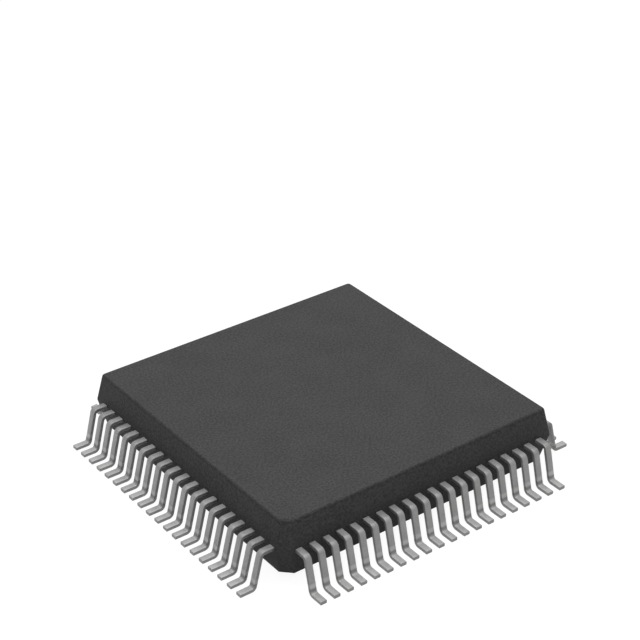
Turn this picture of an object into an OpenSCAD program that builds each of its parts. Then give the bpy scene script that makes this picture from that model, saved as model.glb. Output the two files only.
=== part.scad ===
// Quad flat pack of the 14 x 14 mm class: 80 gull-wing leads at 0.65 mm pitch.
// Origin at the centre of the seating plane, under the middle of the body; +Z points up.
// The chamfered corner is at -X -Y. Leads are numbered counter-clockwise from it, seen from above.

/* [Body] */
// Width of the moulded body across the parting line, mm
body_w = 13.8; // [13.6:0.1:18]
// Height of the body above the parting line, mm
upper_h = 1.28; // [1.0:0.01:2.0]
// Height of the body below the parting line, mm
lower_h = 1.36; // [1.0:0.01:2.0]
// Draft of the sides above the parting line, degrees
upper_draft = 10; // [3:0.5:15]
// Draft of the sides below the parting line, degrees
lower_draft = 12.5; // [3:0.5:15]
// Height of the upright land along the parting line, mm
land_h = 0.05; // [0.02:0.01:0.15]
// Leg of the chamfer on the marked corner, mm
chamfer = 0.43; // [0.3:0.01:0.5]
// Leg of the small break on the other three corners, mm
corner_break = 0.12; // [0.05:0.01:0.3]
// Radius of the rounded edges of the top and the underside, mm
edge_r = 0.11; // [0.02:0.01:0.2]

/* [Leads] */
// Leads on each side
leads_per_side = 20; // [10:5:20]
// Distance between the centres of neighbouring leads, mm
pitch = 0.65; // [0.5:0.01:0.66]
// Width of a lead outside the body, mm
lead_w = 0.30; // [0.2:0.01:0.36]
// Thickness of the lead strip, mm
lead_t = 0.15; // [0.1:0.01:0.2]
// Distance between the foot tips on opposite sides, mm
tip_to_tip = 17.0; // [16.8:0.1:21]
// Clearance between the underside of the body and the seating plane, mm
standoff = 0.24; // [0.1:0.01:0.5]
// Lean of the legs out from the vertical, degrees
leg_lean = 14; // [5:1:20]
// Radius on the inner side of both bends, mm
bend_r = 0.10; // [0.05:0.01:0.15]
// Flat length of a foot, mm
foot_len = 0.53; // [0.4:0.01:0.7]

/* [Lead frame inside the body] */
// Distance between the finger tips at the inner ends of the leads, mm
finger_pitch = 0.40; // [0.35:0.01:0.42]
// Width of a finger tip, mm
finger_w = 0.20; // [0.15:0.01:0.24]
// Distance from the middle of the body to the finger tips, mm
finger_ring = 4.3; // [4.2:0.05:4.5]
// Straight length of a finger at its tip, mm
finger_tip_len = 0.35; // [0.2:0.05:0.6]
// Straight length of a lead just inside the body, mm
anchor_len = 0.32; // [0.2:0.01:0.5]
// Width of the square die pad, mm
pad_w = 7.2; // [6.5:0.1:7.6]
// Drop of the die pad below the lead plane, mm
pad_drop = 0.20; // [0.1:0.01:0.4]
// Slope of the step in a tie bar, degrees
tie_slope = 30; // [20:1:45]
// Width of a tie bar, mm
tie_w = 0.20; // [0.15:0.01:0.3]
// Moulding left over the end of a tie bar, mm
tie_cover = 0.20; // [0.1:0.01:0.4]

/* [Die and wires] */
// Width of the square silicon die, mm
die_w = 5.6; // [5.4:0.1:6.2]
// Thickness of the silicon die, mm
die_t = 0.35; // [0.2:0.01:0.5]
// Thickness of the adhesive under the die, mm
attach_t = 0.03; // [0.02:0.01:0.06]
// Width of the adhesive that shows all round the die, mm
attach_fillet = 0.10; // [0.05:0.01:0.2]
// Distance between the bonds along the edge of the die, mm
bond_pitch = 0.26; // [0.2:0.01:0.27]
// Distance of the bonds from the edge of the die, mm
bond_inset = 0.12; // [0.08:0.01:0.2]
// Diameter of the bond wire, mm
wire_d = 0.025; // [0.018:0.001:0.04]
// Diameter of the ball at the die end of a wire, mm
ball_d = 0.065; // [0.05:0.005:0.09]
// Height of the ball, mm
ball_h = 0.02; // [0.01:0.005:0.03]
// Height of the straight neck above the ball, mm
neck_h = 0.10; // [0.05:0.01:0.2]
// Radius of the wire's bend over the die, mm
wire_bend_r = 0.06; // [0.04:0.01:0.1]
// Distance of the wire's stitch from the finger tip, mm
stitch_inset = 0.12; // [0.08:0.01:0.2]

/* [Hidden] */
$fn = 48;
// Faces round each small edge of the body
arc_steps = 3;
SIDES = 4;
// Length of a square's diagonal over its side
diagonal_ratio = sqrt(2);
leads_per_group = 5;
lead_count = SIDES * leads_per_side;
group_count = lead_count / leads_per_group;

// Heights
under_z = standoff;
parting_z = under_z + lower_h;
top_z = parting_z + upper_h;
lead_low_z = parting_z - lead_t / 2;
lead_top_z = parting_z + lead_t / 2;
pad_low_z = lead_low_z - pad_drop;
pad_top_z = pad_low_z + lead_t;
die_low_z = pad_top_z + attach_t;
die_top_z = die_low_z + die_t;

// Half widths of the body
parting_half = body_w / 2;
top_half = parting_half - (upper_h - land_h / 2) * tan(upper_draft);
under_half = parting_half - (lower_h - land_h / 2) * tan(lower_draft);

// Gull wing: both bends have the same radii, and their centres lie on opposite sides of the leg
bend_outer_r = bend_r + lead_t;
bend_turn = 90 - leg_lean;
bend_gap = bend_outer_r + bend_r;
leg_len = (lead_low_z - bend_r - bend_outer_r + bend_gap * sin(leg_lean)) / cos(leg_lean);
shoulder_reach = tip_to_tip / 2 - foot_len - bend_gap * cos(leg_lean) - leg_len * sin(leg_lean);

// Distance from the middle to the corner faces at the parting line, along the diagonals
chamfer_reach = parting_half * diagonal_ratio - chamfer / diagonal_ratio;
break_reach = parting_half * diagonal_ratio - corner_break / diagonal_ratio;
// The same for each corner, counter-clockwise from +X +Y
corner_reaches = [break_reach, break_reach, chamfer_reach, break_reach];
// Length of a tie bar's step
tie_step = pad_drop / tan(tie_slope);

// Plan of a lead inside the body, as distances from the middle of the body
fan_start = parting_half - anchor_len;
fan_end = finger_ring + finger_tip_len;

epoxy = "#4a484b";
plating = "#b9bab8";
frame_alloy = "#c98d5e";
silver_epoxy = "#c3c6cb";
silicon = "#5d6270";
gold = "#e2b13c";

function two_digits(n) = n < 10 ? str("0", n) : str(n);
function group_name(kind, g) =
    str(kind, "_", two_digits(g * leads_per_group + 1), "_", two_digits((g + 1) * leads_per_group));
function lead_side(n) = floor(n / leads_per_side);
function lead_place(n) = n % leads_per_side - (leads_per_side - 1) / 2;

LEAD_NODES = [for (g = [0 : group_count - 1]) group_name("leads", g)];
WIRE_NODES = [for (g = [0 : group_count - 1]) group_name("bond_wires", g)];

// Turns a child drawn for the -Y side to the side of lead n
module on_side(n) {
    rotate([0, 0, 90 * lead_side(n)]) children();
}

// Points of a rounded corner with centre c, from angle a to angle b
function corner_arc(c, r, a, b) =
    [for (i = [0 : arc_steps]) let (t = a + (b - a) * i / arc_steps) c + r * [cos(t), sin(t)]];

// Half of the body's section, from the underside to the top
function wall_points() =
    let (
        top_in = edge_r * tan((90 - upper_draft) / 2),
        under_in = edge_r * tan((90 - lower_draft) / 2)
    )
    concat(
        corner_arc([under_half - under_in, under_z + edge_r], edge_r, -90, -lower_draft),
        [[parting_half, parting_z - land_h / 2], [parting_half, parting_z + land_h / 2]],
        corner_arc([top_half - top_in, top_z - edge_r], edge_r, upper_draft, 90)
    );

// Whole section: the right wall and its mirror image
function section_points(right_wall, left_wall) =
    concat(right_wall, [for (i = [len(left_wall) - 1 : -1 : 0]) [-left_wall[i][0], left_wall[i][1]]]);

// A section run straight through the body, square to the side it shapes
module section_bar(right_wall, left_wall) {
    rotate([90, 0, 0])
        linear_extrude(height = 2 * body_w, center = true)
            polygon(section_points(right_wall, left_wall));
}

// The moulding with nothing inside: two crossing bars make the four drafted sides,
// and two more across the diagonals make the corners
module moulding_form() {
    side_wall = wall_points();
    diagonal = [for (p = side_wall) [p[0] * diagonal_ratio, p[1]]];
    chamfer_wall = [for (p = diagonal) [p[0] - chamfer / diagonal_ratio, p[1]]];
    break_wall = [for (p = diagonal) [p[0] - corner_break / diagonal_ratio, p[1]]];
    intersection() {
        section_bar(side_wall, side_wall);
        rotate([0, 0, 90]) section_bar(side_wall, side_wall);
        rotate([0, 0, 45]) section_bar(break_wall, chamfer_wall);
        rotate([0, 0, -45]) section_bar(break_wall, break_wall);
    }
}

// Flat part of lead n, from its finger tip to the distance reach from the middle
module lead_finger(n, reach) {
    x_out = lead_place(n) * pitch;
    x_in = lead_place(n) * finger_pitch;
    on_side(n)
        translate([0, 0, lead_low_z])
            linear_extrude(height = lead_t)
                polygon([
                    [x_out - lead_w / 2, -reach],
                    [x_out + lead_w / 2, -reach],
                    [x_out + lead_w / 2, -fan_start],
                    [x_in + finger_w / 2, -fan_end],
                    [x_in + finger_w / 2, -finger_ring],
                    [x_in - finger_w / 2, -finger_ring],
                    [x_in - finger_w / 2, -fan_end],
                    [x_out - lead_w / 2, -fan_start]
                ]);
}

// A bend of the strip about the origin, from angle a in the plane of the lead
module strip_bend(a) {
    rotate([90, 0, 0])
        rotate_extrude(angle = bend_turn, start = a)
            translate([bend_r, -lead_w / 2])
                square([lead_t, lead_w]);
}

// Bent part of a lead, pointing along +X: each stretch starts where the one before it ends
module gull_wing() {
    translate([shoulder_reach, 0, lead_low_z - bend_r]) {
        strip_bend(leg_lean);
        rotate([0, -leg_lean, 0])
            translate([0, 0, -leg_len]) {
                translate([bend_r, -lead_w / 2, 0])
                    cube([lead_t, lead_w, leg_len]);
                translate([bend_gap, 0, 0])
                    rotate([0, leg_lean, 0]) {
                        strip_bend(180 + leg_lean);
                        translate([0, -lead_w / 2, -bend_outer_r])
                            cube([foot_len, lead_w, lead_t]);
                    }
            }
    }
}

module lead(n) {
    lead_finger(n, shoulder_reach);
    on_side(n)
        translate([lead_place(n) * pitch, 0, 0])
            rotate([0, 0, -90])
                gull_wing();
}

// Group g of the leads, each lead a solid of its own
module lead_group(g) {
    color(plating)
        for (n = [g * leads_per_group : (g + 1) * leads_per_group - 1])
            lead(n);
}

// Tie bar along +X, which becomes a diagonal: low at the pad, stepped up to the lead plane
module tie_bar(end) {
    low_end = pad_w / diagonal_ratio;
    rise_end = low_end + tie_step;
    rotate([90, 0, 0])
        linear_extrude(height = tie_w, center = true)
            polygon([
                [low_end - tie_w, pad_low_z],
                [low_end, pad_low_z],
                [rise_end, lead_low_z],
                [end, lead_low_z],
                [end, lead_top_z],
                [rise_end, lead_top_z],
                [low_end, pad_top_z],
                [low_end - tie_w, pad_top_z]
            ]);
}

module die_pad_form() {
    translate([-pad_w / 2, -pad_w / 2, pad_low_z])
        cube([pad_w, pad_w, lead_t]);
    for (i = [0 : SIDES - 1])
        rotate([0, 0, 45 + 90 * i])
            tie_bar(corner_reaches[i] - tie_cover);
}

module die_pad() {
    color(frame_alloy) die_pad_form();
}

// Square plate of width w centred on the Z axis
module square_plate(w, t, z) {
    translate([-w / 2, -w / 2, z]) cube([w, w, t]);
}

module die_attach() {
    color(silver_epoxy) square_plate(die_w + 2 * attach_fillet, attach_t, pad_top_z);
}

module silicon_die() {
    color(silicon) square_plate(die_w, die_t, die_low_z);
}

// Angle to a hundredth of a degree, so that a bend and the straight after it share one end face
function round_angle(a) = round(a * 100) / 100;

// Wire from its ball at the origin to its stitch at the distance run along +X and drop below:
// ball, neck, bend, and a straight fall that tangents the bend and is cut flush with the lead
module bond_wire_form(run, drop) {
    neck_top = ball_h + neck_h;
    to_stitch = [run - wire_bend_r, neck_top + drop];
    fall = round_angle(atan2(to_stitch[1], to_stitch[0]) + asin(wire_bend_r / norm(to_stitch)));
    fall_len = norm([run, neck_top + drop]);
    difference() {
        union() {
            cylinder(d = ball_d, h = ball_h);
            translate([0, 0, ball_h]) cylinder(d = wire_d, h = neck_h);
            translate([wire_bend_r, 0, neck_top])
                rotate([90, 0, 0])
                    rotate_extrude(angle = 90 + fall, start = 90 - fall)
                        translate([wire_bend_r, 0])
                            circle(d = wire_d);
            translate([wire_bend_r, 0, neck_top])
                rotate([0, fall, 0])
                    translate([0, 0, wire_bend_r])
                        rotate([0, 90, 0])
                            cylinder(d = wire_d, h = fall_len);
        }
        translate([run - fall_len, -ball_d, -drop - fall_len])
            cube([2 * fall_len, 2 * ball_d, fall_len]);
    }
}

module bond_wire(n) {
    start = [lead_place(n) * bond_pitch, -(die_w / 2 - bond_inset)];
    stitch = [lead_place(n) * finger_pitch, -(finger_ring + stitch_inset)];
    course = stitch - start;
    on_side(n)
        translate([start[0], start[1], die_top_z])
            rotate([0, 0, atan2(course[1], course[0])])
                bond_wire_form(norm(course), die_top_z - lead_top_z);
}

// Group g of the bond wires, each wire a solid of its own
module wire_group(g) {
    color(gold)
        for (n = [g * leads_per_group : (g + 1) * leads_per_group - 1])
            bond_wire(n);
}

// The moulding, with the room that everything it encloses takes up
module mould_body() {
    color(epoxy)
        difference() {
            moulding_form();
            for (n = [0 : lead_count - 1])
                lead_finger(n, parting_half + pitch);
            die_pad_form();
            square_plate(die_w + 2 * attach_fillet, attach_t, pad_top_z);
            square_plate(die_w, die_t, die_low_z);
            for (n = [0 : lead_count - 1])
                bond_wire(n);
        }
}

mould_body();
die_pad();
die_attach();
silicon_die();
for (g = [0 : group_count - 1]) {
    lead_group(g);
    wire_group(g);
}
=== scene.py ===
"""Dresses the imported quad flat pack: moulding, tinned leads, inner parts, and a plain studio round them.

Lengths are in metres and angles in radians. The origin is the centre of the seating plane, +Z points up,
and the chamfered corner is at -X -Y.
"""

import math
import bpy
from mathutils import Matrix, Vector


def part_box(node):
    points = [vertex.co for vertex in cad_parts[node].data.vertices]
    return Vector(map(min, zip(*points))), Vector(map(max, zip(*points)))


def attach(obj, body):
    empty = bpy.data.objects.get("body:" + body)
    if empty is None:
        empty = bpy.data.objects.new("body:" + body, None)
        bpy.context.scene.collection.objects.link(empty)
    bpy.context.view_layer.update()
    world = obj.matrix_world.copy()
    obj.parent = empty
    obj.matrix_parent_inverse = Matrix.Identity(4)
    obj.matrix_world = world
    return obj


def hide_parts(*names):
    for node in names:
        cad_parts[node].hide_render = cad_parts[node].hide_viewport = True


bl_info = {
    "name": "Quad Flat Pack",
    "version": (1, 0, 0),
    "blender": (4, 5, 0),
    "location": "3D View > Sidebar > Flat Pack",
    "description": "Makes the visible pieces and finishes of a quad flat pack with gull-wing leads",
    "category": "Object",
}

import bmesh
import bpy
from bpy.props import FloatProperty, FloatVectorProperty, IntProperty, PointerProperty
from mathutils import Matrix, Vector

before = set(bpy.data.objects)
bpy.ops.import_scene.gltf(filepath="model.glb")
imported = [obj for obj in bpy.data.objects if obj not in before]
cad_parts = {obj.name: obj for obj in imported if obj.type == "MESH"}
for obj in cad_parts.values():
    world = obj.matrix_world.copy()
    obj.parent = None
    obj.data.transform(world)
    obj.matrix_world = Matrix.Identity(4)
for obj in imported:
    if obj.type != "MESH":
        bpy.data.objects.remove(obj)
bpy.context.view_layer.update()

MM = 0.001
BODY = "root"
SIDES = 4
# Face attribute of the darker sides and foot ends: a duller sheared finish, with painted shade on the sides
# between neighbouring leads.
SHEARED_AND_SHADED = "sheared"
BODY_LOW, BODY_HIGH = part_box("mould_body")
LEADS_LOW, LEADS_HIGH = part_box("leads_01_05")
NEXT_LEADS_LOW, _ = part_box("leads_06_10")


# Settings that a user would change


class MouldSettings(bpy.types.PropertyGroup):
    """Form and finish of the moulded body; its outer size comes from the frame."""

    land: FloatProperty(
        name="Parting Land", description="Height of the upright land along the parting line",
        default=0.05 * MM, unit="LENGTH", precision=5)
    upper_draft: FloatProperty(
        name="Upper Draft", description="Slope of the sides above the parting line",
        default=math.radians(10), subtype="ANGLE")
    lower_draft: FloatProperty(
        name="Lower Draft", description="Slope of the sides below the parting line",
        default=math.radians(12.5), subtype="ANGLE")
    chamfer: FloatProperty(
        name="Chamfer", description="Leg of the chamfer on the marked corner",
        default=0.43 * MM, unit="LENGTH", precision=5)
    corner_radius: FloatProperty(
        name="Corner Radius", description="Radius of the other three upright corners",
        default=0.12 * MM, unit="LENGTH", precision=5)
    chamfer_radius: FloatProperty(
        name="Chamfer Edge Radius", description="Radius of the two upright edges of the chamfer",
        default=0.04 * MM, unit="LENGTH", precision=5)
    edge_radius: FloatProperty(
        name="Edge Radius", description="Radius round the top and the underside",
        default=0.11 * MM, unit="LENGTH", precision=5)
    arc_steps: IntProperty(
        name="Arc Steps", description="Faces round each small radius", default=5, min=2)
    dark: FloatVectorProperty(
        name="Dark Epoxy", description="Colour of the resin between the filler grains",
        default=(0.044, 0.043, 0.045), subtype="COLOR")
    light: FloatVectorProperty(
        name="Light Epoxy", description="Colour where filler lies close under the surface",
        default=(0.083, 0.082, 0.084), subtype="COLOR")
    grain: FloatProperty(
        name="Grain", description="Size of the grain of the spark-eroded mould",
        default=0.09 * MM, unit="LENGTH", precision=5)
    cloud: FloatProperty(
        name="Cloud", description="Size of the faint clouds that the flow of the resin leaves",
        default=1.6 * MM, unit="LENGTH", precision=5)
    relief: FloatProperty(
        name="Relief", description="Depth of the grain",
        default=0.002 * MM, unit="LENGTH", precision=6)
    # Painted shade: darkens a band along the rounded edges of the top and the underside; it is no colour of
    # the resin.
    edge_shade: FloatProperty(
        name="Edge Shade", description="Darkness of the smooth resin skin on the rounded edges",
        default=0.2, min=0, max=1)


class LeadSettings(bpy.types.PropertyGroup):
    """Form and finish of the gull-wing leads; tip, pitch and plane come from the frame."""

    in_group: IntProperty(
        name="Leads in a Group", description="Leads that one CAD node holds", default=5, min=1)
    per_side: IntProperty(
        name="Leads per Side", description="Leads along each side", default=20, min=1)
    width: FloatProperty(
        name="Width", description="Width of a lead outside the body",
        default=0.30 * MM, unit="LENGTH", precision=5)
    thickness: FloatProperty(
        name="Thickness", description="Thickness of the strip",
        default=0.15 * MM, unit="LENGTH", precision=5)
    edge_radius: FloatProperty(
        name="Edge Radius", description="Radius of the long edges of the plated strip",
        default=0.028 * MM, unit="LENGTH", precision=6)
    bend_radius: FloatProperty(
        name="Bend Radius", description="Radius on the inner side of both bends",
        default=0.10 * MM, unit="LENGTH", precision=5)
    lean: FloatProperty(
        name="Leg Lean", description="Lean of the legs out from the vertical",
        default=math.radians(14), subtype="ANGLE")
    foot: FloatProperty(
        name="Foot Length", description="Flat length of a foot",
        default=0.53 * MM, unit="LENGTH", precision=5)
    finger_pitch: FloatProperty(
        name="Finger Pitch", description="Distance between the inner ends of the leads",
        default=0.40 * MM, unit="LENGTH", precision=5)
    finger_width: FloatProperty(
        name="Finger Width", description="Width of the inner end of a lead",
        default=0.20 * MM, unit="LENGTH", precision=5)
    finger_tip: FloatProperty(
        name="Finger Tip Length", description="Straight length of a lead at its inner end",
        default=0.35 * MM, unit="LENGTH", precision=5)
    anchor: FloatProperty(
        name="Anchor Length", description="Straight length of a lead just inside the body",
        default=0.32 * MM, unit="LENGTH", precision=5)
    bend_steps: IntProperty(
        name="Bend Steps", description="Faces along each bend", default=10, min=3)
    edge_steps: IntProperty(
        name="Edge Steps", description="Faces round each long edge", default=2, min=1)
    tin: FloatVectorProperty(
        name="Tin", description="Colour of the matt tin plating",
        default=(0.36, 0.36, 0.357), subtype="COLOR")
    shade: FloatVectorProperty(
        name="Shaded Tin", description="Colour between the grains of the plating",
        default=(0.27, 0.27, 0.267), subtype="COLOR")
    # Painted highlight: the colour that the painted highlights on the feet and above the lower bends mix
    # towards.
    bright: FloatVectorProperty(
        name="Bright Tin", description="Colour of the plating where the forming tool wiped it",
        default=(0.60, 0.60, 0.595), subtype="COLOR")
    # Painted highlight: bright tin on the feet, standing in for the extra light that falls on them.
    foot_shine: FloatProperty(
        name="Foot Shine", description="Share of bright tin on the feet, which the tool pressed flat",
        default=0.30, min=0, max=1)
    # Painted highlight: bright tin on a band above each lower bend, where a lamp's reflection would lie.
    burnish_shine: FloatProperty(
        name="Burnish Shine", description="Share of bright tin on the spot above each lower bend",
        default=0.55, min=0, max=1)
    # Painted shade in the hollow of each lower bend.
    crease_shade: FloatProperty(
        name="Crease Shade", description="Darkness in the hollow of each lower bend",
        default=0.25, min=0, max=1)
    # Painted shade on the shoulders, which the body shades.
    shoulder_shade: FloatProperty(
        name="Shoulder Shade", description="Darkness of the shoulders beside the body",
        default=0.14, min=0, max=1)
    # Darker sides and foot ends: partly a duller sheared finish, partly painted shade on the sides between
    # neighbouring leads.
    sheared: FloatProperty(
        name="Sheared Edge", description="Tone of the duller sheared sides and ends, as a share of the tin",
        default=0.6, min=0, max=1)
    metal: FloatProperty(
        name="Metal", description="Share of the plating that mirrors as metal",
        default=0.15, min=0, max=1)
    rough: FloatProperty(
        name="Roughness", description="Mean roughness of the plating",
        default=0.48, min=0, max=1)
    grain: FloatProperty(
        name="Grain", description="Size of the crystals of the plating",
        default=0.035 * MM, unit="LENGTH", precision=6)


class InnerSettings(bpy.types.PropertyGroup):
    """Finish of the parts that the moulding holds."""

    copper: FloatVectorProperty(
        name="Copper Alloy", description="Colour of the lead frame's die pad",
        default=(0.72, 0.42, 0.26), subtype="COLOR")
    adhesive: FloatVectorProperty(
        name="Silver Epoxy", description="Colour of the adhesive under the die",
        default=(0.55, 0.56, 0.58), subtype="COLOR")
    silicon: FloatVectorProperty(
        name="Silicon", description="Colour of the bare silicon",
        default=(0.14, 0.15, 0.19), subtype="COLOR")
    gold: FloatVectorProperty(
        name="Gold", description="Colour of the bond wires",
        default=(0.83, 0.60, 0.18), subtype="COLOR")


class StudioSettings(bpy.types.PropertyGroup):
    """Floor, light and camera."""

    azimuth: FloatProperty(
        name="Azimuth", description="Turn of the camera round the chip; 0 looks along +Y",
        default=math.radians(-36.7353), subtype="ANGLE")
    elevation: FloatProperty(
        name="Elevation", description="Height of the camera above the horizon",
        default=math.radians(30.4383), subtype="ANGLE")
    roll: FloatProperty(
        name="Roll", description="Turn of the camera about its own axis",
        default=math.radians(-0.0875), subtype="ANGLE")
    distance: FloatProperty(
        name="Distance", description="Distance of the camera from the seating plane's centre",
        default=77.3606 * MM, unit="LENGTH", precision=5)
    rise: FloatProperty(
        name="Rise", description="Shift of the camera upwards in its own plane",
        default=5.4608 * MM, unit="LENGTH", precision=5)
    lens: FloatProperty(name="Lens", description="Focal length in millimetres", default=101.28)
    lamp_size: FloatProperty(
        name="Lamp Size", description="Width of the overhead softbox",
        default=110 * MM, unit="LENGTH")
    lamp_height: FloatProperty(
        name="Lamp Height", description="Height of the softbox above the floor",
        default=95 * MM, unit="LENGTH")
    lamp_shift: FloatProperty(
        name="Lamp Shift", description="Shift of the softbox towards -X",
        default=4 * MM, unit="LENGTH")
    lamp_power: FloatProperty(
        name="Lamp Power", description="Power of the softbox", default=0.115, unit="POWER")
    ambient: FloatProperty(
        name="Ambient", description="Light that the room gives from all round", default=0.10)
    floor_glow: FloatProperty(
        name="Floor Glow", description="Brightness of the floor before any light falls on it",
        default=0.94)
    floor_answer: FloatProperty(
        name="Floor Answer", description="Share of the light that the floor sends back to the chip",
        default=0.65)
    floor_shadow: FloatProperty(
        name="Floor Shadow", description="Share of the light that shows on the floor, with its shadows",
        default=0.12)


# Node trees written as expressions


class Socket:
    """An output of a node; arithmetic on it adds Math nodes to its tree."""

    def __init__(self, graph, socket):
        self.graph = graph
        self.socket = socket

    def math(self, operation, *values):
        """A Math node on these values."""
        return self.graph.node("ShaderNodeMath", {"operation": operation}, dict(enumerate(values)))

    def __add__(self, other):
        return self.math("ADD", self, other)

    def __radd__(self, other):
        return self.math("ADD", other, self)

    def __sub__(self, other):
        return self.math("SUBTRACT", self, other)

    def __rsub__(self, other):
        return self.math("SUBTRACT", other, self)

    def __mul__(self, other):
        return self.math("MULTIPLY", self, other)

    def __rmul__(self, other):
        return self.math("MULTIPLY", other, self)

    def __truediv__(self, other):
        return self.math("DIVIDE", self, other)

    def __gt__(self, other):
        return self.math("GREATER_THAN", self, other)

    def __lt__(self, other):
        return self.math("LESS_THAN", self, other)

    def __neg__(self):
        return self.math("MULTIPLY", self, -1)

    def size(self):
        """The value without its sign."""
        return self.math("ABSOLUTE", self)

    def tan(self):
        """Tangent of an angle."""
        return self.math("TANGENT", self)

    def at_most(self, other):
        """The smaller of two values."""
        return self.math("MINIMUM", self, other)

    def at_least(self, other):
        """The larger of two values."""
        return self.math("MAXIMUM", self, other)


class Graph:
    """A node tree that is built from expressions."""

    def __init__(self, tree):
        self.tree = tree

    def node(self, kind, settings=None, sockets=None, output=0):
        """Adds a node, sets it up, fills its sockets by name or place and returns one output."""
        made = self.tree.nodes.new(kind)
        for name, value in (settings or {}).items():
            if name == "stops":
                self.set_stops(made.color_ramp, value)
            elif name == "choices":
                while len(made.index_switch_items) < value:
                    made.index_switch_items.new()
            elif name == "capture":
                made.capture_items.new(*value)
            else:
                setattr(made, name, value)
        for key, value in (sockets or {}).items():
            self.fill(self.find(made.inputs, key), value)
        return Socket(self, self.find(made.outputs, output))

    def find(self, sockets, key):
        """The socket in use that has this name, or this place."""
        if isinstance(key, int):
            return sockets[key]
        return next(s for s in sockets if s.name == key and not s.is_unavailable)

    def fill(self, target, value):
        """Links a socket, or each of several, or sets a plain value."""
        for each in value if isinstance(value, list) else [value]:
            if isinstance(each, Socket):
                self.tree.links.new(each.socket, target)
            else:
                target.default_value = each

    def set_stops(self, ramp, stops):
        """Stops of a colour ramp, as places with grey levels."""
        while len(ramp.elements) < len(stops):
            ramp.elements.new(1)
        for element, (place, level) in zip(ramp.elements, stops):
            element.position = place
            element.color = (level, level, level, 1)

    def sibling(self, socket, name):
        """Another output of the node that a socket belongs to."""
        return Socket(self, self.find(socket.socket.node.outputs, name))

    def mix(self, share, first, second):
        """A colour between two colours."""
        return self.node(
            "ShaderNodeMix", {"data_type": "RGBA"},
            {"Factor": share, "A": as_colour(first), "B": as_colour(second)}, "Result")

    def noise(self, place, size, detail=2.0):
        """Soft noise whose waves have about this size, from 0 to 1."""
        return self.node(
            "ShaderNodeTexNoise", {},
            {"Vector": place, "Scale": 1 / size, "Detail": detail, "Roughness": 0.5}, "Fac")

    def ramp(self, value, low, high):
        """A smooth rise from 0 at the low value to 1 at the high one."""
        return self.node(
            "ShaderNodeMapRange", {"interpolation_type": "SMOOTHSTEP"},
            {"Value": value, "From Min": low, "From Max": high}, "Result")

    def bump(self, height, depth):
        """Normals of a relief of this depth."""
        return self.node(
            "ShaderNodeBump", {}, {"Height": height, "Distance": depth, "Strength": 1.0}, "Normal")


def as_colour(value):
    """A colour with its alpha; a socket stays as it is."""
    return value if isinstance(value, Socket) else (*value, 1)


def new_surface(name):
    """An empty material, its graph and the place on the object."""
    material = bpy.data.materials.new(name)
    material.use_nodes = True
    material.node_tree.nodes.clear()
    graph = Graph(material.node_tree)
    place = graph.node("ShaderNodeTexCoord", {}, {}, "Object")
    return material, graph, place


def finish_surface(graph, **sockets):
    """Closes a material with one Principled shader; a socket's name has _ for each space."""
    named = {name.replace("_", " "): value for name, value in sockets.items()}
    shader = graph.node("ShaderNodeBsdfPrincipled", {}, named, "BSDF")
    output = graph.tree.nodes.new("ShaderNodeOutputMaterial")
    graph.tree.links.new(shader.socket, output.inputs["Surface"])


# Finishes


def mould_compound(look):
    """Black epoxy: matt grain of the eroded mould, filler under the skin, faint flow clouds, painted shade
    on the rounded edges.
    """
    material, graph, place = new_surface("mould_compound")
    grain = graph.noise(place, look.grain)
    cloud = graph.noise(place, look.cloud, 3)
    tone = graph.ramp(grain * 0.85 + cloud * 0.15, 0.3, 0.7)
    height = graph.node("ShaderNodeSeparateXYZ", {}, {"Vector": place}, "Z")
    above = height - (BODY_LOW.z + BODY_HIGH.z) / 2
    depth = ((BODY_HIGH.z - BODY_LOW.z) / 2 - above.size()) / look.edge_radius
    # Painted shade: a band along the rounded edges of the top and the underside, darkened by Edge Shade.
    edge = graph.ramp(depth, 0.01, 0.10) * (1 - graph.ramp(depth, 0.8, 1.5))
    skin = graph.mix(tone, look.dark, look.light)
    finish_surface(
        graph,
        Base_Color=graph.mix(edge * look.edge_shade, skin, (0, 0, 0)),
        Roughness=0.68 + (grain - 0.5) * 0.3,
        Normal=graph.bump(graph.noise(place, look.grain * 0.7, 3), look.relief),
        Specular_IOR_Level=0.06,
    )
    return material


def band(graph, value, low, high, soft):
    """1 between two values, with soft ends."""
    return graph.ramp(value, low - soft, low) * (1 - graph.ramp(value, high, high + soft))


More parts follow.
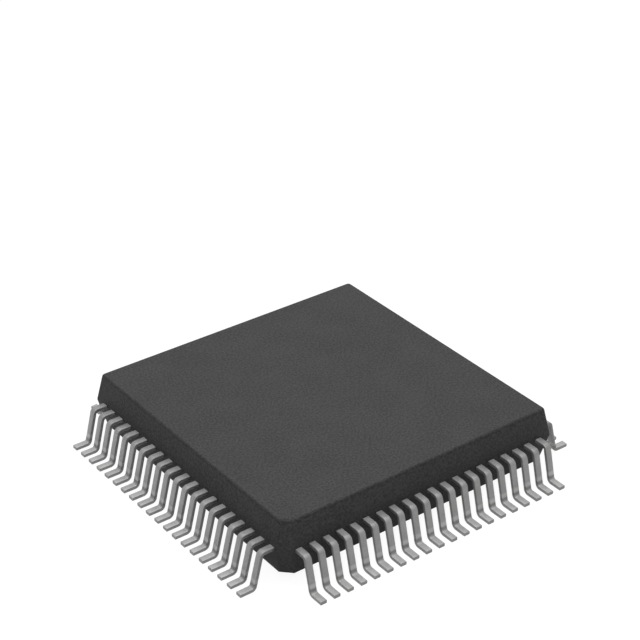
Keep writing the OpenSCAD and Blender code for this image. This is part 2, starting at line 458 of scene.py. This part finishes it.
def tin_plating(look):
    """Matt tin: fine crystals, soft drifts of tone, painted highlights on feet and above bends, painted
    shade in bends and on shoulders.
    """
    material, graph, place = new_surface("tin_plating")
    crystals = graph.noise(place, look.grain, 3)
    drift = graph.noise(place, look.grain * 12)
    tone = graph.ramp(crystals * 0.55 + drift * 0.45, 0.35, 0.65)
    height = graph.node("ShaderNodeSeparateXYZ", {}, {"Vector": place}, "Z")
    fold = look.thickness + look.bend_radius
    # Painted light and shade by height along the lead: highlights on the feet and above each lower bend,
    # shade in each lower bend and on the shoulders.
    foot = 1 - graph.ramp(height, look.thickness, fold)
    # Painted shade: a band in the hollow of each lower bend.
    crease = band(graph, height, fold, fold * 1.3, look.bend_radius * 0.4)
    bend_highlight_band = band(graph, height, fold * 1.6, fold * 1.9, look.bend_radius)
    # Painted shade on the shoulders beside the body.
    shoulder = graph.ramp(height, LEADS_HIGH.z - fold, LEADS_HIGH.z)
    plain = graph.mix(tone, look.shade, look.tin)
    # Painted shade darkens the crease band and the shoulders.
    shaded = graph.mix(crease * look.crease_shade + shoulder * look.shoulder_shade, plain, (0, 0, 0))
    # Painted highlights on the feet and above each lower bend, made patchy by the drifts.
    painted_highlights = foot * look.foot_shine + bend_highlight_band * look.burnish_shine
    flat = graph.mix(painted_highlights * (0.6 + drift * 0.8), shaded, look.bright)
    # Sides and foot ends darker: a duller sheared finish, with painted shade on the sides between
    # neighbouring leads.
    dull = graph.mix(look.sheared, (0, 0, 0), flat)
    sheared = graph.node("ShaderNodeAttribute", {"attribute_name": SHEARED_AND_SHADED}, {}, "Fac")
    finish_surface(
        graph,
        Base_Color=graph.mix(sheared, flat, dull),
        Metallic=look.metal,
        Roughness=look.rough + (drift - 0.5) * 0.25,
        Normal=graph.bump(crystals, look.grain * 0.04),
    )
    return material


def copper_alloy(look):
    """Rolled copper alloy with fine lines along the rolling direction."""
    material, graph, place = new_surface("lead_frame")
    stretched = graph.node("ShaderNodeMapping", {}, {"Vector": place, "Scale": (1, 12, 1)}, "Vector")
    lines = graph.noise(stretched, 0.5 * MM, 3)
    dull = tuple(level * 0.8 for level in look.copper)
    finish_surface(
        graph,
        Base_Color=graph.mix(lines, look.copper, dull),
        Metallic=1.0,
        Roughness=0.3 + lines * 0.2,
        Normal=graph.bump(lines, 0.001 * MM),
    )
    return material


def silver_epoxy(look):
    """Adhesive full of silver flakes."""
    material, graph, place = new_surface("silver_epoxy")
    flakes = graph.node("ShaderNodeTexVoronoi", {}, {"Vector": place, "Scale": 1 / (0.03 * MM)}, "Distance")
    dull = tuple(level * 0.6 for level in look.adhesive)
    finish_surface(
        graph,
        Base_Color=graph.mix(flakes, look.adhesive, dull),
        Metallic=0.6,
        Roughness=0.35 + flakes * 0.3,
        Normal=graph.bump(flakes, 0.003 * MM),
    )
    return material


def polished_silicon(look):
    """Silicon with blocks of circuitry that differ a little in tone."""
    material, graph, place = new_surface("silicon")
    blocks = graph.node(
        "ShaderNodeTexVoronoi", {"distance": "CHEBYCHEV"},
        {"Vector": place, "Scale": 1 / (0.55 * MM)}, "Distance")
    rows = graph.noise(place, 0.04 * MM, 2)
    tone = blocks * 0.6 + rows * 0.4
    pale = tuple(level * 1.7 for level in look.silicon)
    finish_surface(
        graph,
        Base_Color=graph.mix(tone, look.silicon, pale),
        Metallic=0.3,
        Roughness=0.12 + rows * 0.1,
        Normal=graph.bump(rows, 0.0005 * MM),
    )
    return material


def drawn_gold(look):
    """Drawn gold wire with faint die lines."""
    material, graph, place = new_surface("gold_wire")
    lines = graph.noise(place, 0.01 * MM, 2)
    dull = tuple(level * 0.85 for level in look.gold)
    finish_surface(
        graph,
        Base_Color=graph.mix(lines, look.gold, dull),
        Metallic=1.0,
        Roughness=0.2 + lines * 0.12,
        Normal=graph.bump(lines, 0.0005 * MM),
    )
    return material


# Moulding


def round_corners(corners, radii, steps):
    """Points of a closed anticlockwise outline whose corners are rounded."""
    points = []
    for i, corner in enumerate(corners):
        corner = Vector(corner)
        back = (Vector(corners[i - 1]) - corner).normalized()
        ahead = (Vector(corners[(i + 1) % len(corners)]) - corner).normalized()
        half_angle = back.angle(ahead) / 2
        centre = corner + (back + ahead).normalized() * (radii[i] / math.sin(half_angle))
        start = corner + back * (radii[i] / math.tan(half_angle)) - centre
        turn = math.pi - 2 * half_angle
        for step in range(steps + 1):
            points.append(centre + Matrix.Rotation(turn * step / steps, 2) @ start)
    return points


def mould_outline(half, form):
    """Plan of the body where it has this half width: a chamfer at -X -Y, three rounded corners."""
    cut = half - form.chamfer
    corners = [(-cut, -half), (half, -half), (half, half), (-half, half), (-half, -cut)]
    radii = [form.chamfer_radius] + [form.corner_radius] * 3 + [form.chamfer_radius]
    return round_corners(corners, radii, form.arc_steps)


def mould_levels(form):
    """Half width and height of each ring of the body, from the underside up."""
    parting = (LEADS_HIGH.z + LEADS_HIGH.z - 0.15 * MM) / 2
    widest = BODY_HIGH.x
    r = form.edge_radius
    levels = []
    for draft, end, way in ((form.lower_draft, BODY_LOW.z, -1), (form.upper_draft, BODY_HIGH.z, 1)):
        rise = abs(end - parting)
        wall = widest - (rise - form.land / 2) * math.tan(draft)
        centre_x = wall - r * math.tan((math.pi / 2 - draft) / 2)
        arc = []
        for step in range(form.arc_steps + 1):
            angle = draft + (math.pi / 2 - draft) * step / form.arc_steps
            arc.append((centre_x + r * math.cos(angle), end - way * (r - r * math.sin(angle))))
        half_wall = [(widest, parting + way * form.land / 2)] + arc
        levels += half_wall[::-1] if way < 0 else half_wall
    return levels


def mesh_piece(name, mesh):
    """A piece of the chip, with its object at the origin."""
    piece = bpy.data.objects.new(name, mesh)
    bpy.context.scene.collection.objects.link(piece)
    return piece


def mould_shell(form):
    """The body as a stack of rings between two flat ends."""
    bm = bmesh.new()
    rings = []
    for half, z in mould_levels(form):
        rings.append([bm.verts.new((p.x, p.y, z)) for p in mould_outline(half, form)])
    for low, high in zip(rings, rings[1:]):
        for i in range(len(low)):
            j = (i + 1) % len(low)
            bm.faces.new((low[i], low[j], high[j], high[i]))
    bm.faces.new(rings[0][::-1])
    bm.faces.new(rings[-1])
    for face in bm.faces:
        face.smooth = True
    mesh = bpy.data.meshes.new("mould_shell")
    bm.to_mesh(mesh)
    bm.free()
    return mesh_piece("mould_shell", mesh)


# Leads


LEAD_INPUTS = {
    "Leads": "Int", "First Place": "Float", "Side Angle": "Float", "Pitch": "Float",
    "Finger Pitch": "Float", "Width": "Float", "Finger Width": "Float", "Thickness": "Float",
    "Edge Radius": "Float", "Bend Radius": "Float", "Lean": "Float", "Foot": "Float",
    "Foot Tip": "Float", "Lead Plane": "Float", "Finger Tip": "Float", "Fan End": "Float",
    "Fan Start": "Float", "Bend Steps": "Int", "Edge Steps": "Int", "Material": "Material",
}


def lead_path(graph, size):
    """Middle line of one lead, which runs out along -Y: straight corners, then both bends."""
    half = size["Thickness"] / 2
    bend = size["Bend Radius"] + half
    trim = bend * ((math.pi / 2 - size["Lean"]) / 2).tan()
    foot_corner = size["Foot Tip"] - size["Foot"] - trim
    shoulder_corner = foot_corner - (size["Lead Plane"] - half) * size["Lean"].tan()
    corners = [
        (size["Finger Tip"], size["Lead Plane"]),
        (size["Fan End"], size["Lead Plane"]),
        (size["Fan Start"], size["Lead Plane"]),
        (shoulder_corner, size["Lead Plane"]),
        (foot_corner, half),
        (size["Foot Tip"], half),
    ]
    index = graph.node("GeometryNodeInputIndex")
    places = {"Index": index}
    for i, (reach, height) in enumerate(corners):
        places[str(i)] = graph.node("ShaderNodeCombineXYZ", {}, {"Y": -reach, "Z": height})
    place = graph.node(
        "GeometryNodeIndexSwitch", {"data_type": "VECTOR", "choices": len(corners)}, places)
    line = graph.node("GeometryNodeMeshLine", {}, {"Count": len(corners)})
    line = graph.node("GeometryNodeSetPosition", {}, {"Geometry": line, "Position": place})
    line = graph.node("GeometryNodeMeshToCurve", {}, {"Mesh": line})
    bent = (index > 2.5) * (index < 4.5)
    line = graph.node(
        "GeometryNodeFilletCurve", {"mode": "POLY"},
        {"Curve": line, "Radius": bent * bend, "Count": size["Bend Steps"]})
    return graph.node("GeometryNodeSetCurveNormal", {"mode": "Z_UP"}, {"Curve": line})


def lead_strip(graph, size):
    """One lead with softened long edges."""
    section = graph.node(
        "GeometryNodeCurvePrimitiveQuadrilateral", {},
        {"Width": size["Width"], "Height": size["Thickness"]})
    section = graph.node(
        "GeometryNodeFilletCurve", {"mode": "POLY"},
        {"Curve": section, "Radius": size["Edge Radius"], "Count": size["Edge Steps"]})
    strip = graph.node(
        "GeometryNodeCurveToMesh", {},
        {"Curve": lead_path(graph, size), "Profile Curve": section, "Fill Caps": True})
    strip = graph.node("GeometryNodeMergeByDistance", {}, {"Geometry": strip, "Distance": 0.0001 * MM})
    # Marks the sides and the foot ends for a darker tone: a duller sheared finish, with painted shade on
    # the sides between neighbouring leads.
    normal = graph.node("GeometryNodeInputNormal", {}, {}, "Normal")
    sideways = graph.node("ShaderNodeSeparateXYZ", {}, {"Vector": normal}, "X").size()
    _, reach = across_and_out(graph)
    end = reach > size["Foot Tip"] - size["Edge Radius"] * 0.1
    return graph.node(
        "GeometryNodeStoreNamedAttribute", {"data_type": "FLOAT", "domain": "FACE"},
        {"Geometry": strip, "Name": SHEARED_AND_SHADED, "Value": graph.ramp(sideways, 0.5, 0.95).at_least(end)})


def across_and_out(graph):
    """Place of a point across the side and its distance out from the middle."""
    position = graph.node("GeometryNodeInputPosition")
    x = graph.node("ShaderNodeSeparateXYZ", {}, {"Vector": position}, "X")
    return x, -graph.sibling(x, "Y")


def fan_fingers(graph, size, leads, place):
    """Draws the inner ends of the leads together and narrows them, in proportion to their depth."""
    x, reach = across_and_out(graph)
    depth = (size["Fan Start"] - reach) / (size["Fan Start"] - size["Fan End"])
    share = depth.at_most(1).at_least(0)
    across = x - place * size["Pitch"]
    narrower = size["Finger Width"] / size["Width"] - 1
    shift = share * (place * (size["Finger Pitch"] - size["Pitch"]) + across * narrower)
    offset = graph.node("ShaderNodeCombineXYZ", {}, {"X": shift})
    return graph.node("GeometryNodeSetPosition", {}, {"Geometry": leads, "Offset": offset})


def lead_tree():
    """Geometry Nodes tree that makes a group of leads on one side."""
    tree = bpy.data.node_groups.new("gull_wing_leads", "GeometryNodeTree")
    for name, kind in LEAD_INPUTS.items():
        tree.interface.new_socket(name, in_out="INPUT", socket_type="NodeSocket" + kind)
    tree.interface.new_socket("Geometry", in_out="OUTPUT", socket_type="NodeSocketGeometry")
    graph = Graph(tree)
    first = graph.node("NodeGroupInput")
    size = {name: graph.sibling(first, name) for name in LEAD_INPUTS}
    place = graph.node("GeometryNodeInputIndex") + size["First Place"]
    start = graph.node("ShaderNodeCombineXYZ", {}, {"X": size["First Place"] * size["Pitch"]})
    step = graph.node("ShaderNodeCombineXYZ", {}, {"X": size["Pitch"]})
    row = graph.node(
        "GeometryNodeMeshLine", {},
        {"Count": size["Leads"], "Start Location": start, "Offset": step})
    row = graph.node(
        "GeometryNodeCaptureAttribute", {"capture": ("FLOAT", "Place")},
        {"Geometry": row, "Place": place}, "Geometry")
    leads = graph.node(
        "GeometryNodeInstanceOnPoints", {}, {"Points": row, "Instance": lead_strip(graph, size)})
    leads = graph.node("GeometryNodeRealizeInstances", {}, {"Geometry": leads})
    leads = fan_fingers(graph, size, leads, graph.sibling(row, "Place"))
    turn = graph.node("ShaderNodeCombineXYZ", {}, {"Z": size["Side Angle"]})
    leads = graph.node("GeometryNodeTransform", {}, {"Geometry": leads, "Rotation": turn})
    leads = graph.node("GeometryNodeSetShadeSmooth", {"domain": "FACE"}, {"Geometry": leads})
    crease = graph.node("GeometryNodeInputMeshEdgeAngle") > math.radians(50)
    leads = graph.node(
        "GeometryNodeSetShadeSmooth", {"domain": "EDGE"},
        {"Geometry": leads, "Selection": crease, "Shade Smooth": False})
    leads = graph.node("GeometryNodeRealizeInstances", {}, {"Geometry": leads})
    leads = graph.node(
        "GeometryNodeSetMaterial", {}, {"Geometry": leads, "Material": size["Material"]})
    output = tree.nodes.new("NodeGroupOutput")
    tree.links.new(leads.socket, output.inputs["Geometry"])
    return tree


def made_by_tree(name, tree, inputs):
    """The plain mesh that a tree makes from these inputs."""
    source = mesh_piece(name + "_source", bpy.data.meshes.new(name + "_source"))
    modifier = source.modifiers.new("tree", "NODES")
    modifier.node_group = tree
    for socket in tree.interface.items_tree:
        if socket.in_out == "INPUT":
            modifier[socket.identifier] = inputs[socket.name]
    graph = bpy.context.evaluated_depsgraph_get()
    mesh = bpy.data.meshes.new_from_object(source.evaluated_get(graph))
    mesh.name = name
    source.modifiers.clear()
    bpy.data.objects.remove(source)
    return mesh_piece(name, mesh)


def lead_inputs(form, first, material):
    """Inputs of the tree for the group that starts with this lead, counted from 0."""
    finger_tip = -LEADS_HIGH.y
    return {
        "Leads": form.in_group,
        "First Place": float(first % form.per_side - (form.per_side - 1) / 2),
        "Side Angle": math.pi / 2 * (first // form.per_side),
        "Pitch": (NEXT_LEADS_LOW.x - LEADS_LOW.x) / form.in_group,
        "Finger Pitch": form.finger_pitch,
        "Width": form.width,
        "Finger Width": form.finger_width,
        "Thickness": form.thickness,
        "Edge Radius": form.edge_radius,
        "Bend Radius": form.bend_radius,
        "Lean": form.lean,
        "Foot": form.foot,
        "Foot Tip": -LEADS_LOW.y,
        "Lead Plane": LEADS_HIGH.z - form.thickness / 2,
        "Finger Tip": finger_tip,
        "Fan End": finger_tip + form.finger_tip,
        "Fan Start": BODY_HIGH.x - form.anchor,
        "Bend Steps": form.bend_steps,
        "Edge Steps": form.edge_steps,
        "Material": material,
    }


# Operators


class MakeMould(bpy.types.Operator):
    """Make the moulded body and give it its epoxy"""

    bl_idname = "flat_pack.make_mould"
    bl_label = "Moulded Body"

    def execute(self, context):
        form = context.scene.flat_pack_mould
        shell = mould_shell(form)
        shell.data.materials.append(mould_compound(form))
        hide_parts("mould_body")
        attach(shell, BODY)
        return {"FINISHED"}


class MakeLeads(bpy.types.Operator):
    """Make the tinned gull-wing leads, group by group round the body"""

    bl_idname = "flat_pack.make_leads"
    bl_label = "Gull-Wing Leads"

    def execute(self, context):
        form = context.scene.flat_pack_leads
        material = tin_plating(form)
        tree = lead_tree()
        for first in range(0, SIDES * form.per_side, form.in_group):
            node = f"leads_{first + 1:02d}_{first + form.in_group:02d}"
            inputs = lead_inputs(form, first, material)
            piece = made_by_tree("tinned_" + node, tree, inputs)
            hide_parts(node)
            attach(piece, BODY)
        return {"FINISHED"}


class FinishInnerParts(bpy.types.Operator):
    """Give the parts inside the moulding their finishes"""

    bl_idname = "flat_pack.finish_inner_parts"
    bl_label = "Inner Parts"

    def execute(self, context):
        look = context.scene.flat_pack_inner
        finishes = {
            "die_pad": copper_alloy(look),
            "die_attach": silver_epoxy(look),
            "silicon_die": polished_silicon(look),
            "bond_wires": drawn_gold(look),
        }
        for name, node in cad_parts.items():
            for start, material in finishes.items():
                if name.startswith(start):
                    node.data.materials.clear()
                    node.data.materials.append(material)
        return {"FINISHED"}


def seen_directly(graph):
    """1 for camera rays, and for rays that leave metal or glass, which show the background too."""
    camera = graph.node("ShaderNodeLightPath", {}, {}, "Is Camera Ray")
    return camera.at_least(graph.sibling(camera, "Is Glossy Ray")).at_least(
        graph.sibling(camera, "Is Transmission Ray"))


def make_floor(studio):
    """White floor: it glows for the camera, sends little light back and keeps a faint shadow."""
    reach = 2.0
    bm = bmesh.new()
    bmesh.ops.create_grid(bm, x_segments=1, y_segments=1, size=reach)
    mesh = bpy.data.meshes.new("floor")
    bm.to_mesh(mesh)
    bm.free()
    floor = mesh_piece("floor", mesh)
    material = bpy.data.materials.new("floor")
    material.use_nodes = True
    material.node_tree.nodes.clear()
    graph = Graph(material.node_tree)
    white = (1, 1, 1, 1)
    camera = graph.node("ShaderNodeLightPath", {}, {}, "Is Camera Ray")
    share = graph.mix(camera, [studio.floor_answer] * 3, [studio.floor_shadow] * 3)
    answer = graph.node("ShaderNodeBsdfDiffuse", {}, {"Color": share})
    glow = graph.node(
        "ShaderNodeEmission", {}, {"Color": white, "Strength": seen_directly(graph) * studio.floor_glow})
    shader = graph.node("ShaderNodeAddShader", {}, {0: answer, 1: glow})
    output = graph.tree.nodes.new("ShaderNodeOutputMaterial")
    graph.tree.links.new(shader.socket, output.inputs["Surface"])
    mesh.materials.append(material)


def make_world(studio):
    """Soft light from all round; the background itself is white."""
    world = bpy.data.worlds.new("studio")
    world.use_nodes = True
    world.node_tree.nodes.clear()
    graph = Graph(world.node_tree)
    strength = studio.ambient + seen_directly(graph) * (1 - studio.ambient)
    shader = graph.node("ShaderNodeBackground", {}, {"Color": (1, 1, 1, 1), "Strength": strength})
    output = graph.tree.nodes.new("ShaderNodeOutputWorld")
    graph.tree.links.new(shader.socket, output.inputs["Surface"])
    bpy.context.scene.world = world


def make_lamp(studio):
    """Square softbox that looks straight down."""
    lamp = bpy.data.lights.new("softbox", "AREA")
    lamp.shape = "SQUARE"
    lamp.size = studio.lamp_size
    lamp.energy = studio.lamp_power
    holder = bpy.data.objects.new("softbox", lamp)
    holder.location = (-studio.lamp_shift, 0, studio.lamp_height)
    bpy.context.scene.collection.objects.link(holder)


def make_camera(studio):
    """Camera that looks down on the chamfered corner."""
    turn, lift = studio.azimuth, studio.elevation
    back = Vector((math.sin(turn) * math.cos(lift), -math.cos(turn) * math.cos(lift), math.sin(lift)))
    level = Vector((math.cos(turn), math.sin(turn), 0))
    upright = back.cross(level)
    right = math.cos(studio.roll) * level + math.sin(studio.roll) * upright
    up = back.cross(right)
    camera = bpy.data.cameras.new("camera")
    camera.sensor_width = 36
    camera.lens = studio.lens
    camera.clip_start = MM
    camera.clip_end = 10
    holder = bpy.data.objects.new("camera", camera)
    rotation = Matrix((right, up, back)).transposed()
    holder.matrix_world = Matrix.Translation(back * studio.distance + up * studio.rise) @ rotation.to_4x4()
    bpy.context.scene.collection.objects.link(holder)
    bpy.context.scene.camera = holder


class SetStage(bpy.types.Operator):
    """Set up the floor, the light and the camera"""

    bl_idname = "flat_pack.set_stage"
    bl_label = "Stage"

    def execute(self, context):
        studio = context.scene.flat_pack_studio
        context.scene.view_settings.view_transform = "Standard"
        make_camera(studio)
        make_lamp(studio)
        make_world(studio)
        make_floor(studio)
        return {"FINISHED"}


class FlatPackPanel(bpy.types.Panel):
    """Lists the steps and their settings"""

    bl_idname = "FLATPACK_PT_panel"
    bl_label = "Flat Pack"
    bl_space_type = "VIEW_3D"
    bl_region_type = "UI"
    bl_category = "Flat Pack"

    def draw(self, context):
        for operator, settings in STEPS:
            box = self.layout.box()
            box.operator(operator.bl_idname)
            group = getattr(context.scene, settings)
            for name in group.bl_rna.properties.keys():
                if name not in ("rna_type", "name"):
                    box.prop(group, name)


SETTINGS = {
    "flat_pack_studio": StudioSettings,
    "flat_pack_mould": MouldSettings,
    "flat_pack_leads": LeadSettings,
    "flat_pack_inner": InnerSettings,
}
STEPS = [
    (SetStage, "flat_pack_studio"),
    (MakeMould, "flat_pack_mould"),
    (MakeLeads, "flat_pack_leads"),
    (FinishInnerParts, "flat_pack_inner"),
]


def register():
    """Adds the settings, the steps and the panel to Blender."""
    for name, settings in SETTINGS.items():
        bpy.utils.register_class(settings)
        setattr(bpy.types.Scene, name, PointerProperty(type=settings))
    for operator, _ in STEPS:
        bpy.utils.register_class(operator)
    bpy.utils.register_class(FlatPackPanel)


def unregister():
    """Takes them out again."""
    bpy.utils.unregister_class(FlatPackPanel)
    for operator, _ in STEPS:
        bpy.utils.unregister_class(operator)
    for name, settings in SETTINGS.items():
        delattr(bpy.types.Scene, name)
        bpy.utils.unregister_class(settings)


def main():
    """Runs every step."""
    register()
    bpy.ops.flat_pack.set_stage()
    bpy.ops.flat_pack.make_mould()
    bpy.ops.flat_pack.make_leads()
    bpy.ops.flat_pack.finish_inner_parts()


if __name__ == "__main__":
    main()
